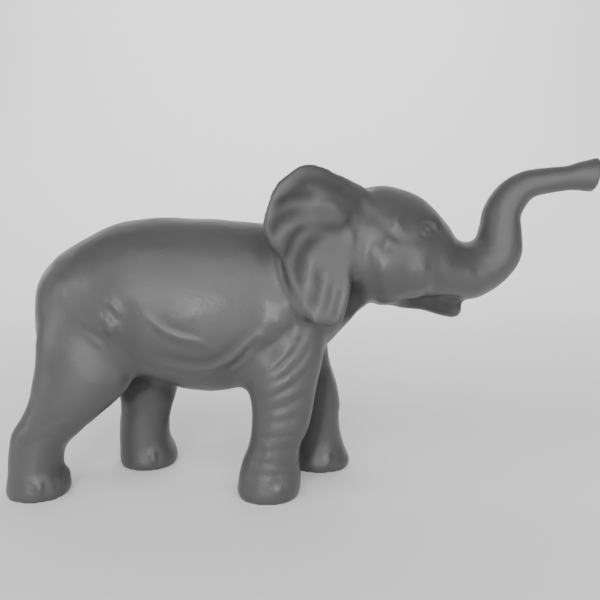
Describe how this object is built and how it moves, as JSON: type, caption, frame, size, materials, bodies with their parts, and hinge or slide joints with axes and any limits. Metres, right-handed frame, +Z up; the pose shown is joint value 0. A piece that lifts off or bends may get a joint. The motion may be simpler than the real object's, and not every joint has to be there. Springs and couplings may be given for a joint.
{
  "type": "elephant sculpture",
  "caption": "Small cast figure of a walking elephant calf with spread ears and a raised, S-curved trunk, standing on its own flat feet with no base.",
  "frame": {"origin": "on the ground, under the middle of the figure's overall box", "axes": "+X runs along the body towards the head and the trunk's tip, +Y to the elephant's left, +Z up from the soles"},
  "size_m": [0.2888, 0.086, 0.1636],
  "materials": {
    "grey_resin": "satin"
  },
  "bodies": {
    "root": {"elephant": "grey_resin"}
  },
  "joints": []
}
